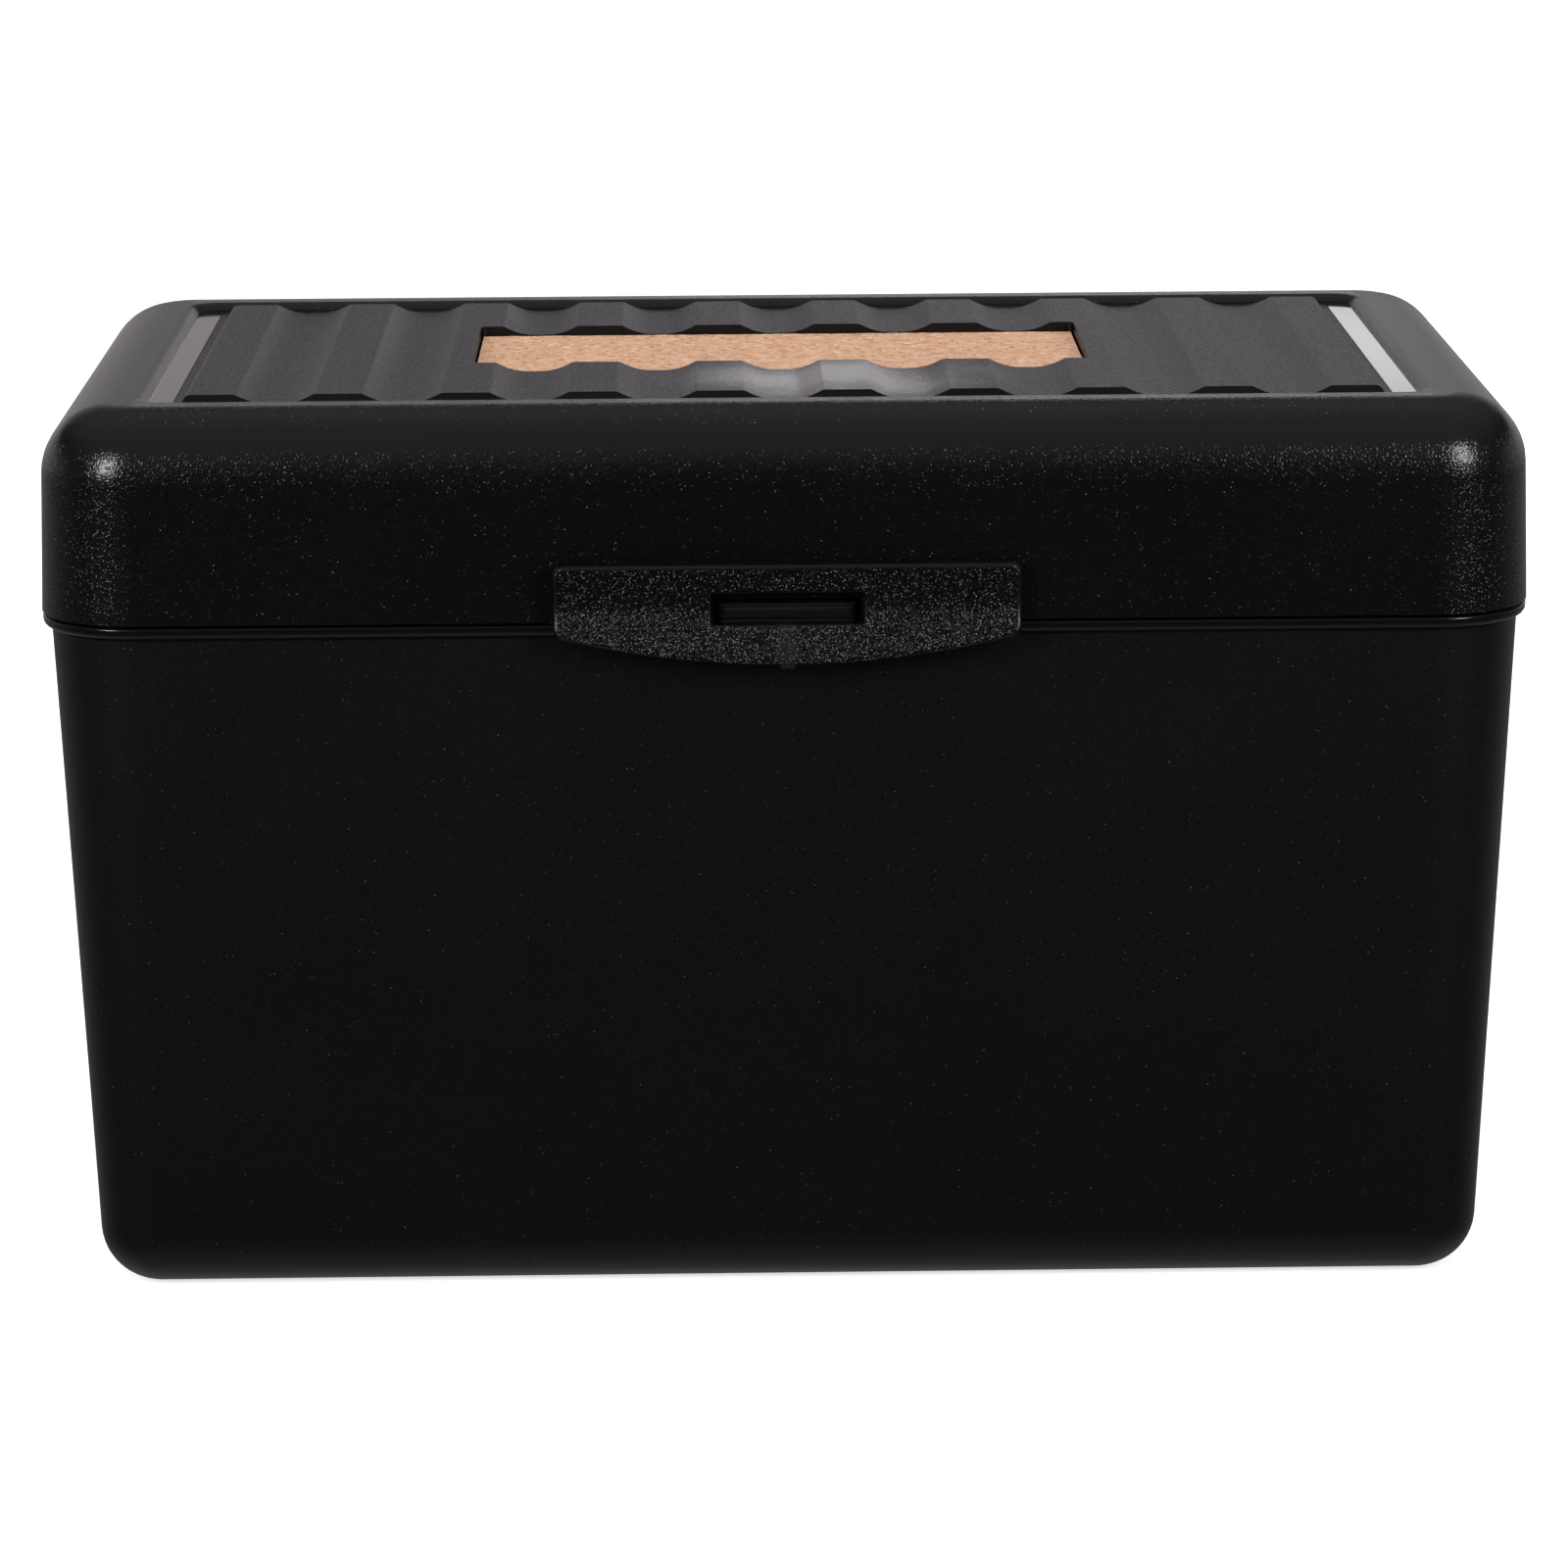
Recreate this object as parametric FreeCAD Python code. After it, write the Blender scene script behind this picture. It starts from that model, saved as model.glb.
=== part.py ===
"""Hinged cash box: a moulded tub and lid, a corrugated insert with a cork pad, and a snap clasp.

Millimetres. +X is the box's right, +Y its back and +Z up. The origin is the middle of the flat base.
"""
import FreeCAD, Part
import math
import os

from FreeCAD import Vector

# Overall form
lid_width = 200.0
lid_depth = 114.0
lid_top = 122.6
seam_height = 94.8
wall = 2.2
lid_corner = 13.5
lid_top_round = 9.5
lid_draft = 1.75
body_draft = 2.4
body_bottom_round = 8.0

# Rim of the tub, under and inside the lid
seam_gap = 0.4
flange_inset = 0.1
flange_overhang = 1.1
flange_height = 1.6
flange_round = 1.0
flange_edge_round = 0.3
lip_height = 2.2
lip_clearance = 0.4
lip_chamfer = 0.3

# Recess in the lid's top, with a seat in its floor for the insert
recess_margin = 14.65
recess_depth = 1.0
recess_slope_run = 1.2
recess_corner = 2.5
recess_edge_round = 2.4

# Corrugated insert panel, sunk so that its valleys lie level with the recess floor
panel_length = 79.5
panel_corner = 0.8
panel_gap = 0.1
panel_tape_thickness = 0.2
panel_valley_thickness = 0.8
ridge_count = 10
ridge_pitch = 17.1
ridge_height = 1.25
ridge_top_width = 6.45
ridge_slope_angle = 26.5
valley_round = 8.0
ridge_round = 1.0
outer_slope_run = 0.85
panel_side_flat = 1.0
panel_tape_width = 9.0
panel_tape_edge = 4.0

# Cork pad in the panel's window
window_pitches = 5
window_length = 32.2
window_back_shift = 1.2
window_corner = 0.8
cork_gap = 0.3
cork_tape_thickness = 0.15
cork_thickness = 0.8
cork_tape_inset = 1.0

# Rear hinges
hinge_margin = 42.0
hinge_axis_back = 3.4
knuckle_radius = 3.0
hinge_pin_radius = 1.25
pin_clearance = 0.05
lid_knuckle_length = 16.0
body_knuckle_length = 7.0
knuckle_gap = 0.4
lid_web_height = 8.0
body_web_drop = 11.0
web_meets_knuckle = 45.0

# Clasp flap on the lid's front
clasp_width = 62.0
clasp_top_rise = 8.1
clasp_fold_rise = 2.0
clasp_drop = 5.1
clasp_side_drop = 1.5
clasp_thickness = 2.4
clasp_gap = 0.3
clasp_flare = 15.0
clasp_fold_round = 10.0
clasp_corner = 1.6
clasp_edge_round = 0.6
clasp_bevel_rise = 2.2
clasp_bevel_depth = 1.0
clasp_window_width = 20.3
clasp_window_low = 0.15
clasp_window_high = 4.35
gate_width = 2.0
gate_drop = 0.5
gate_thickness = 1.2
gate_round = 0.4

# Clasp pivot, in pockets behind the flap
clasp_axis_depth = 1.5
clasp_axis_rise = 6.0
clasp_pin_radius = 0.8
clasp_pin_seat = 4.0
clasp_knuckle_radius = 1.5
clasp_knuckle_length = 12.0
clasp_knuckle_offset = 18.0
clasp_web_top = 0.2
pocket_clearance = 0.3
pocket_side_clearance = 0.4
pocket_wall = 1.4

# Catch nub of the tub, which shows in the clasp's window
nub_width = 18.5
nub_height = 3.0
nub_low = -0.45
nub_proud = 0.4
nub_round = 1.2
notch_clearance = 0.5

# How far a cutting shape runs past the face it opens, and how close counts as the same place
cut_over = 1.0
same_place = 1e-4

# Values that follow from the sizes above
flange_top = seam_height - seam_gap
body_inset = flange_inset + flange_overhang
lip_inset = wall + lip_clearance
lip_top = seam_height + lip_height
recess_floor = lid_top - recess_depth
recess_half_x = lid_width / 2 - recess_margin
recess_half_y = lid_depth / 2 - recess_margin
rim_half_x = recess_half_x + recess_slope_run
rim_half_y = recess_half_y + recess_slope_run
lid_front = -lid_depth / 2
lid_back = lid_depth / 2
ridge_run = ridge_height / math.tan(math.radians(ridge_slope_angle))
outer_foot = (ridge_count - 1) / 2 * ridge_pitch + ridge_top_width / 2 + outer_slope_run
panel_half_x = outer_foot + panel_side_flat
panel_half_y = panel_length / 2
panel_low = recess_floor - panel_valley_thickness
seat_floor = panel_low - panel_tape_thickness
roof_low = seat_floor - wall
ridge_top = recess_floor + ridge_height
window_half_x = window_pitches * ridge_pitch / 2
hinge_offset = lid_width / 2 - hinge_margin
hinge_y = lid_back + hinge_axis_back
hinge_z = seam_height - seam_gap / 2
clasp_axis_y = lid_front + clasp_axis_depth
clasp_axis_z = seam_height + clasp_axis_rise
pocket_reach = clasp_knuckle_radius + pocket_clearance
pocket_half_length = clasp_knuckle_length / 2 + pocket_side_clearance
clasp_pin_half = clasp_knuckle_offset + pocket_half_length + clasp_pin_seat
clasp_lean = math.tan(math.radians(clasp_flare)) * (clasp_fold_rise + clasp_drop)
clasp_reach = clasp_gap + clasp_thickness + clasp_lean


def draft_shift(angle, rise):
    """How far a drafted wall leans over a rise."""
    return math.tan(math.radians(angle)) * rise


def rounded_rectangle(half_x, half_y, radius, z):
    """Closed wire of a rectangle with round corners, centred on the Z axis."""
    edges = []
    diagonal = radius * math.sqrt(0.5)
    corners = [(1, -1), (1, 1), (-1, 1), (-1, -1)]
    for index, (sx, sy) in enumerate(corners):
        centre = Vector(sx * (half_x - radius), sy * (half_y - radius), z)
        side = Vector(sx * radius, 0, 0)
        end = Vector(0, sy * radius, 0)
        first, last = (end, side) if index % 2 == 0 else (side, end)
        middle = centre + Vector(sx * diagonal, sy * diagonal, 0)
        arc = Part.Arc(centre + first, middle, centre + last).toShape()
        if edges:
            edges.append(Part.LineSegment(edges[-1].lastVertex().Point, centre + first).toShape())
        edges.append(arc)
    edges.append(Part.LineSegment(edges[-1].lastVertex().Point, edges[0].firstVertex().Point).toShape())
    return Part.Wire(edges)


def outline(inset, z):
    """The box's plan outline, drawn in from the lid's lower edge by an inset."""
    return rounded_rectangle(lid_width / 2 - inset, lid_depth / 2 - inset, lid_corner - inset, z)


def drafted_block(low_inset, low_z, high_inset, high_z):
    """Solid between two insets of the plan outline."""
    return Part.makeLoft([outline(low_inset, low_z), outline(high_inset, high_z)], True, True)


def level_edges(solid, z):
    """Edges of a solid that lie at one height."""
    found = []
    for edge in solid.Edges:
        if abs(edge.BoundBox.ZMin - z) < same_place and abs(edge.BoundBox.ZMax - z) < same_place:
            found.append(edge)
    return found


def box_between(low, high):
    """Box from its lowest to its highest corner."""
    size = [high[i] - low[i] for i in range(3)]
    return Part.makeBox(size[0], size[1], size[2], Vector(*low))


def side_profile(points, low_x, high_x):
    """Solid with a straight-sided outline in the YZ plane, between two X places."""
    corners = [Vector(low_x, y, z) for y, z in points]
    face = Part.Face(Part.makePolygon(corners + corners[:1]))
    return face.extrude(Vector(high_x - low_x, 0, 0))


def cross_rod(radius, low_x, high_x, y, z):
    """Round rod along X."""
    return Part.makeCylinder(radius, high_x - low_x, Vector(low_x, y, z), Vector(1, 0, 0))


def hinge_sides():
    """The left and right hinge centres."""
    return {"left": -hinge_offset, "right": hinge_offset}


def body_knuckle_spans(centre):
    """The X spans of the tub's two knuckles at one hinge."""
    inner = lid_knuckle_length / 2 + knuckle_gap
    outer = inner + body_knuckle_length
    return [(centre - outer, centre - inner), (centre + inner, centre + outer)]


def body_knuckle(low_x, high_x):
    """One knuckle of the tub, on a gusset that runs down the rear wall."""
    root_y = lid_back - body_inset - wall / 2
    foot_y = root_y - draft_shift(body_draft, body_web_drop)
    heel_y = hinge_y + knuckle_radius * math.sin(math.radians(web_meets_knuckle))
    heel_z = hinge_z - knuckle_radius * math.cos(math.radians(web_meets_knuckle))
    foot_z = flange_top - body_web_drop
    gusset = [(root_y, flange_top), (hinge_y, flange_top), (heel_y, heel_z), (foot_y, foot_z)]
    knuckle = cross_rod(knuckle_radius, low_x, high_x, hinge_y, hinge_z)
    return knuckle.fuse(side_profile(gusset, low_x, high_x))


def catch_nub():
    """Rounded bar on the tub's front rim that the clasp's window snaps over."""
    root_y = lid_front + lip_inset + wall / 2
    low_z = seam_height + nub_low
    front_y = lid_front - nub_proud
    nub = box_between((-nub_width / 2, front_y, low_z), (nub_width / 2, root_y, low_z + nub_height))
    front_edges = [edge for edge in nub.Edges if edge.BoundBox.YMax < front_y + same_place]
    return nub.makeFillet(nub_round, front_edges)


def body_tub():
    """The tub: drafted shell, rim flange, locating lip, rear knuckles and catch nub."""
    lean = draft_shift(body_draft, flange_top)
    shell = drafted_block(body_inset + lean, 0, body_inset, flange_top)
    shell = shell.makeFillet(body_bottom_round, level_edges(shell, 0))
    flange_low = flange_top - flange_height
    flange = drafted_block(flange_inset, flange_low, flange_inset, flange_top)
    flange = flange.makeFillet(flange_round, level_edges(flange, flange_low))
    flange = flange.makeFillet(flange_edge_round, level_edges(flange, flange_top))
    lip = drafted_block(lip_inset, flange_low, lip_inset, lip_top)
    lip = lip.makeChamfer(lip_chamfer, level_edges(lip, lip_top))
    solid = shell.fuse([flange, lip, catch_nub()])
    for centre in hinge_sides().values():
        for low_x, high_x in body_knuckle_spans(centre):
            solid = solid.fuse(body_knuckle(low_x, high_x))
    inner_lean = draft_shift(body_draft, lip_top + cut_over - wall)
    cavity = drafted_block(body_inset + wall + inner_lean, wall, body_inset + wall, lip_top + cut_over)
    cavity = cavity.makeFillet(body_bottom_round - wall, level_edges(cavity, wall))
    solid = solid.cut(cavity)
    for centre in hinge_sides().values():
        for low_x, high_x in body_knuckle_spans(centre):
            solid = solid.cut(cross_rod(hinge_pin_radius, low_x, high_x, hinge_y, hinge_z))
    return solid.removeSplitter()


def hinge_pin(centre):
    """Steel pin, pressed in the tub's knuckles and running in the lid's."""
    half = lid_knuckle_length / 2 + knuckle_gap + body_knuckle_length
    return cross_rod(hinge_pin_radius, centre - half, centre + half, hinge_y, hinge_z)


def lid_knuckle(centre):
    """One knuckle of the lid, on a web up its rear wall."""
    low_x = centre - lid_knuckle_length / 2
    high_x = centre + lid_knuckle_length / 2
    root_y = lid_back - wall / 2
    top_y = root_y - draft_shift(lid_draft, lid_web_height)
    crown_y = hinge_y + knuckle_radius * math.sin(math.radians(web_meets_knuckle))
    crown_z = hinge_z + knuckle_radius * math.cos(math.radians(web_meets_knuckle))
    top_z = seam_height + lid_web_height
    web = [(root_y, seam_height), (hinge_y, seam_height), (crown_y, crown_z), (top_y, top_z)]
    knuckle = cross_rod(knuckle_radius, low_x, high_x, hinge_y, hinge_z)
    return knuckle.fuse(side_profile(web, low_x, high_x))


def clasp_pockets():
    """The two pockets in the lid's front that take the clasp's knuckles."""
    pockets = []
    for side in (-1, 1):
        middle = side * clasp_knuckle_offset
        low = (middle - pocket_half_length, lid_front - cut_over, clasp_axis_z - pocket_reach)
        high = (middle + pocket_half_length, clasp_axis_y + pocket_reach, clasp_axis_z + pocket_reach)
        pockets.append(box_between(low, high))
    return pockets


def pocket_boss():
    """Thickening inside the lid's front wall that closes the pockets and holds the pin."""
    reach = pocket_reach + pocket_wall
    low = (-clasp_pin_half, lid_front + wall / 2, clasp_axis_z - reach)
    high = (clasp_pin_half, clasp_axis_y + reach, clasp_axis_z + reach)
    return box_between(low, high)


def upright_prism(half_x, half_y, radius, low_z, high_z):
    """Upright prism with a rounded rectangle for its plan."""
    return Part.Face(rounded_rectangle(half_x, half_y, radius, low_z)).extrude(Vector(0, 0, high_z - low_z))


def recess_space():
    """The space of the recess in the lid's top, wider at its rim, and of the insert's seat in its floor."""
    low = rounded_rectangle(recess_half_x, recess_half_y, recess_corner, recess_floor)
    high = rounded_rectangle(rim_half_x, rim_half_y, recess_corner + recess_slope_run, lid_top)
    seat = upright_prism(panel_half_x + panel_gap, panel_half_y + panel_gap, panel_corner + panel_gap,
                         seat_floor, lid_top)
    return Part.makeLoft([low, high], True, True).fuse(seat)


def lid_block():
    """The lid's outer form: drafted sides, round top edges and a recess with a softened rim."""
    block = drafted_block(0, seam_height, draft_shift(lid_draft, lid_top - seam_height), lid_top)
    block = block.makeFillet(lid_top_round, level_edges(block, lid_top))
    block = block.cut(recess_space())
    rim = []
    for edge in level_edges(block, lid_top):
        reach_x = max(abs(edge.BoundBox.XMin), abs(edge.BoundBox.XMax))
        reach_y = max(abs(edge.BoundBox.YMin), abs(edge.BoundBox.YMax))
        if reach_x < rim_half_x + same_place and reach_y < rim_half_y + same_place:
            rim.append(edge)
    return block.makeFillet(recess_edge_round, rim)


def lid_space():
    """The space inside the lid, lower under the recess."""
    ceiling = lid_top - wall
    space = drafted_block(wall, seam_height, wall + draft_shift(lid_draft, ceiling - seam_height), ceiling)
    space = space.makeFillet(lid_top_round - wall, level_edges(space, ceiling))
    roof = upright_prism(recess_half_x + wall, recess_half_y + wall, recess_corner + wall, roof_low, lid_top)
    return space.cut(roof)


def lid_shell():
    """The lid: hollow block with rear knuckles, nub notch and clasp pockets."""
    solid = lid_block().cut(lid_space()).fuse(pocket_boss())
    for centre in hinge_sides().values():
        solid = solid.fuse(lid_knuckle(centre))
    notch_half = nub_width / 2 + notch_clearance
    notch_top = seam_height + nub_low + nub_height + notch_clearance
    notch_low = (-notch_half, lid_front - cut_over, seam_height - cut_over)
    notch = box_between(notch_low, (notch_half, lid_front + wall + cut_over, notch_top))
    solid = solid.cut([notch] + clasp_pockets())
    solid = solid.cut(clasp_pin())
    hole_radius = hinge_pin_radius + pin_clearance
    for centre in hinge_sides().values():
        half = lid_knuckle_length / 2
        solid = solid.cut(cross_rod(hole_radius, centre - half, centre + half, hinge_y, hinge_z))
    return solid.removeSplitter()


def ridge_outline():
    """Corners of the panel's cross-section: flat-topped ridges, the outermost with steeper outer slopes."""
    half_top = ridge_top_width / 2
    last = ridge_count - 1
    points = [Vector(-panel_half_x, 0, panel_low), Vector(-panel_half_x, 0, recess_floor)]
    for index in range(ridge_count):
        middle = (index - last / 2) * ridge_pitch
        left_run = outer_slope_run if index == 0 else ridge_run
        right_run = outer_slope_run if index == last else ridge_run
        points.append(Vector(middle - half_top - left_run, 0, recess_floor))
        points.append(Vector(middle - half_top, 0, ridge_top))
        points.append(Vector(middle + half_top, 0, ridge_top))
        points.append(Vector(middle + half_top + right_run, 0, recess_floor))
    return points + [Vector(panel_half_x, 0, recess_floor), Vector(panel_half_x, 0, panel_low)]


def panel_edges(solid, height):
    """Edges along Y at one height, between the feet of the outermost slopes."""
    found = []
    for edge in solid.Edges:
        box = edge.BoundBox
        along_y = box.YLength > panel_half_y and box.XLength < same_place
        if along_y and abs(box.ZMin - height) < same_place and abs(box.XMin) < outer_foot - same_place:
            found.append(edge)
    return found


def window_prism(half_x, half_y, radius, low_z, high_z):
    """Prism over the cork's place."""
    prism = upright_prism(half_x, half_y, radius, low_z, high_z)
    prism.translate(Vector(0, window_back_shift, 0))
    return prism


def corrugated_panel():
    """The moulded insert with its ridges and the window for the cork."""
    corners = ridge_outline()
    face = Part.Face(Part.makePolygon(corners + corners[:1]))
    solid = face.extrude(Vector(0, 2 * panel_half_y, 0))
    solid.translate(Vector(0, -panel_half_y, 0))
    solid = solid.makeFillet(valley_round, panel_edges(solid, recess_floor))
    solid = solid.makeFillet(ridge_round, panel_edges(solid, ridge_top))
    low_z = panel_low - cut_over
    high_z = ridge_top + cut_over
    solid = solid.common(upright_prism(panel_half_x, panel_half_y, panel_corner, low_z, high_z))
    return solid.cut(window_prism(window_half_x, window_length / 2, window_corner, low_z, high_z))


def panel_tape():
    """Two adhesive strips under the panel, along its front and back edges."""
    half_x = panel_half_x - panel_tape_edge
    strips = []
    for side in (-1, 1):
        outer = side * (panel_half_y - panel_tape_edge)
        inner = outer - side * panel_tape_width
        low = (-half_x, min(outer, inner), seat_floor)
        high = (half_x, max(outer, inner), panel_low)
        strips.append(box_between(low, high))
    return Part.makeCompound(strips)


def cork_tape():
    """Adhesive sheet under the cork."""
    half_x = window_half_x - cork_gap - cork_tape_inset
    half_y = window_length / 2 - cork_gap - cork_tape_inset
    return window_prism(half_x, half_y, window_corner, seat_floor, seat_floor + cork_tape_thickness)


def cork_pad():
    """Cork sheet in the panel's window."""
    low_z = seat_floor + cork_tape_thickness
    half_x = window_half_x - cork_gap
    half_y = window_length / 2 - cork_gap
    return window_prism(half_x, half_y, window_corner, low_z, low_z + cork_thickness)


def clasp_pin():
    """Rod that the clasp swings on, pressed in the lid's boss."""
    return cross_rod(clasp_pin_radius, -clasp_pin_half, clasp_pin_half, clasp_axis_y, clasp_axis_z)


def clasp_plate():
    """The flap before its outline is cut: flat upper half and flared lower half, with a soft fold between."""
    back_y = lid_front - clasp_gap
    front_y = back_y - clasp_thickness
    top_z = seam_height + clasp_top_rise
    fold_z = seam_height + clasp_fold_rise
    low_z = seam_height - clasp_drop
    profile = [
        (back_y, fold_z),
        (back_y - clasp_lean, low_z),
        (front_y - clasp_lean, low_z),
        (front_y, fold_z),
        (front_y, top_z),
        (back_y - clasp_bevel_depth, top_z),
        (back_y, top_z - clasp_bevel_rise),
    ]
    plate = side_profile(profile, -clasp_width / 2, clasp_width / 2)
    fold = [edge for edge in level_edges(plate, fold_z) if edge.BoundBox.YMax < front_y + same_place]
    return plate.makeFillet(clasp_fold_round, fold)


def clasp_outline():
    """Prism of the flap's front outline, whose lower edge is one shallow arc."""
    half = clasp_width / 2
    top_z = seam_height + clasp_top_rise
    side_z = seam_height - clasp_side_drop
    low_z = seam_height - clasp_drop
    places = [(-half, side_z), (-half, top_z), (half, top_z), (half, side_z)]
    corners = [Vector(x, lid_front, z) for x, z in places]
    edges = [Part.LineSegment(a, b).toShape() for a, b in zip(corners, corners[1:])]
    edges.append(Part.Arc(corners[3], Vector(0, lid_front, low_z), corners[0]).toShape())
    prism = Part.Face(Part.Wire(edges)).extrude(Vector(0, -2 * clasp_reach, 0))
    upright = [edge for edge in prism.Edges if edge.BoundBox.YLength > clasp_reach]
    return prism.makeFillet(clasp_corner, upright)


def faces_front(face):
    """Whether a face looks more to the front than to any other side."""
    low_u, high_u, low_v, high_v = face.ParameterRange
    normal = face.normalAt((low_u + high_u) / 2, (low_v + high_v) / 2)
    return -normal.y > max(abs(normal.x), abs(normal.z))


def clasp_front_edges(flap):
    """Edges round the flap's front, without those between its upper half, fold and lower half."""
    edges = [edge for face in flap.Faces if faces_front(face) for edge in face.Edges]
    return [edge for edge in edges if sum(edge.isSame(other) for other in edges) == 1]


def gate_nib():
    """The small stub that the mould's gate leaves on the middle of the flap's lower edge."""
    middle_y = lid_front - clasp_gap - clasp_thickness / 2 - clasp_lean
    low_z = seam_height - clasp_drop - gate_drop
    low = (-gate_width / 2, middle_y - gate_thickness / 2, low_z)
    high = (gate_width / 2, middle_y + gate_thickness / 2, low_z + gate_drop + cut_over)
    nib = box_between(low, high)
    upright = [edge for edge in nib.Edges if edge.BoundBox.ZLength > gate_drop]
    return nib.makeFillet(gate_round, upright)


def clasp():
    """The snap clasp: flared flap with a window, and two knuckles on its back."""
    flap = clasp_plate().common(clasp_outline())
    flap = flap.makeFillet(clasp_edge_round, clasp_front_edges(flap)).fuse(gate_nib())
    back_y = lid_front - clasp_gap
    window_low = (-clasp_window_width / 2, lid_front - 2 * clasp_reach, seam_height + clasp_window_low)
    window_high = (clasp_window_width / 2, lid_front, seam_height + clasp_window_high)
    flap = flap.cut(box_between(window_low, window_high))
    for side in (-1, 1):
        low_x = side * clasp_knuckle_offset - clasp_knuckle_length / 2
        high_x = low_x + clasp_knuckle_length
        knuckle = cross_rod(clasp_knuckle_radius, low_x, high_x, clasp_axis_y, clasp_axis_z)
        web_low = (low_x, back_y - clasp_thickness / 2, clasp_axis_z - clasp_knuckle_radius)
        web_high = (high_x, clasp_axis_y, clasp_axis_z - clasp_web_top)
        flap = flap.fuse([knuckle, box_between(web_low, web_high)])
    bore_radius = clasp_pin_radius + pin_clearance
    bore = cross_rod(bore_radius, -clasp_pin_half, clasp_pin_half, clasp_axis_y, clasp_axis_z)
    return flap.cut(bore).removeSplitter()


def main():
    """Builds every piece and writes it to its own file."""
    os.makedirs("parts", exist_ok=True)
    pieces = {
        "body_tub": body_tub(),
        "lid_shell": lid_shell(),
        "corrugated_panel": corrugated_panel(),
        "panel_tape": panel_tape(),
        "cork_tape": cork_tape(),
        "cork_pad": cork_pad(),
        "clasp": clasp(),
        "clasp_pin": clasp_pin(),
    }
    for side, centre in hinge_sides().items():
        pieces["hinge_pin_" + side] = hinge_pin(centre)
    for name, shape in pieces.items():
        print(name, len(shape.Solids), "solids", round(shape.Volume, 1), "mm3", "valid", shape.isValid())
        shape.exportStep("parts/" + name + ".step")


main()
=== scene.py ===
"""Finish and studio for a hinged cash box: grained black plastic, a corrugated insert and a cork sheet.

Metres, in the part's own frame: +X is the box's right, +Y its back and +Z up.
"""
import math

import bpy
from bpy.props import FloatProperty, FloatVectorProperty, PointerProperty
from mathutils import Matrix, Vector


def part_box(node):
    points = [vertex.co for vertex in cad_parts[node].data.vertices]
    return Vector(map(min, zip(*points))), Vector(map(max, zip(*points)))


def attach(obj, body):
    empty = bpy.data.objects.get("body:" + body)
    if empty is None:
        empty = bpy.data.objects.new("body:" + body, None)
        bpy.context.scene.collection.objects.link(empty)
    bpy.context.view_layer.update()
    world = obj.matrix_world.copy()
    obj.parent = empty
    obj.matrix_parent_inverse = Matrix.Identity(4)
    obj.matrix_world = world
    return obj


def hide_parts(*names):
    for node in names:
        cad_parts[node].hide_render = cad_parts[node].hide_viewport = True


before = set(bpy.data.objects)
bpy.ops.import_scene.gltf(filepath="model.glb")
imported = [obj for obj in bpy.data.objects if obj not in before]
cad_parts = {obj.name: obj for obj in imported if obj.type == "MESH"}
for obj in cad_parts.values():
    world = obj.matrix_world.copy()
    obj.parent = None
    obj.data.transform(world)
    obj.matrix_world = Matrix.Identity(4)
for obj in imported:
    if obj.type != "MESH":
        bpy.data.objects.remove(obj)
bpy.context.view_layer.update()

bl_info = {
    "name": "Cash box finish",
    "version": (1, 0, 0),
    "blender": (4, 5, 0),
    "location": "View3D > Sidebar > Cash box",
    "description": "Gives a packed cash box its plastics, cork and steel, and sets up its studio",
    "category": "Object",
}

MM = 0.001

# Kinds of shader node that the finishes and the studio use
COORDINATES = "ShaderNodeTexCoord"
MATH = "ShaderNodeMath"
VECTOR = "ShaderNodeVectorMath"
SEPARATE = "ShaderNodeSeparateXYZ"
COMBINE = "ShaderNodeCombineXYZ"
NOISE = "ShaderNodeTexNoise"
VORONOI = "ShaderNodeTexVoronoi"
LOT = "ShaderNodeTexWhiteNoise"
RANGE = "ShaderNodeMapRange"
MIX = "ShaderNodeMix"
RAMP = "ShaderNodeValToRGB"
BUMP = "ShaderNodeBump"
RAYS = "ShaderNodeLightPath"
BACKGROUND = "ShaderNodeBackground"
PRINCIPLED = "ShaderNodeBsdfPrincipled"
OUTPUT = "ShaderNodeOutputMaterial"

# Sockets that are known by their place: of a range, of a mix of numbers and of a mix of colours
VALUE, START, END, FIRST, LAST = range(5)
FACTOR, NUMBER_A, NUMBER_B = 0, 2, 3
COLOUR_A, COLOUR_B = 6, 7

# Settings that several nodes share
SMOOTH = {"interpolation_type": "SMOOTHSTEP"}
IN_COLOUR = {"data_type": "RGBA", "out": 2}

# Typical refractive indices
POLYPROPYLENE_IOR = 1.49
ABS_IOR = 1.5
CORK_IOR = 1.45
ADHESIVE_IOR = 1.47

WHITE = (1, 1, 1, 1)


def linear_colour(code):
    """Linear RGBA of an sRGB hex value."""
    channels = [int(code[i:i + 2], 16) / 255 for i in (0, 2, 4)]
    light = [c / 12.92 if c <= 0.04045 else ((c + 0.055) / 1.055) ** 2.4 for c in channels]
    return (*light, 1.0)


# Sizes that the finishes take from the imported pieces
clasp_low, clasp_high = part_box("clasp")
panel_low, panel_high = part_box("corrugated_panel")
cork_low, cork_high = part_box("cork_pad")
lid_low, lid_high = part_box("lid_shell")


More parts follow.
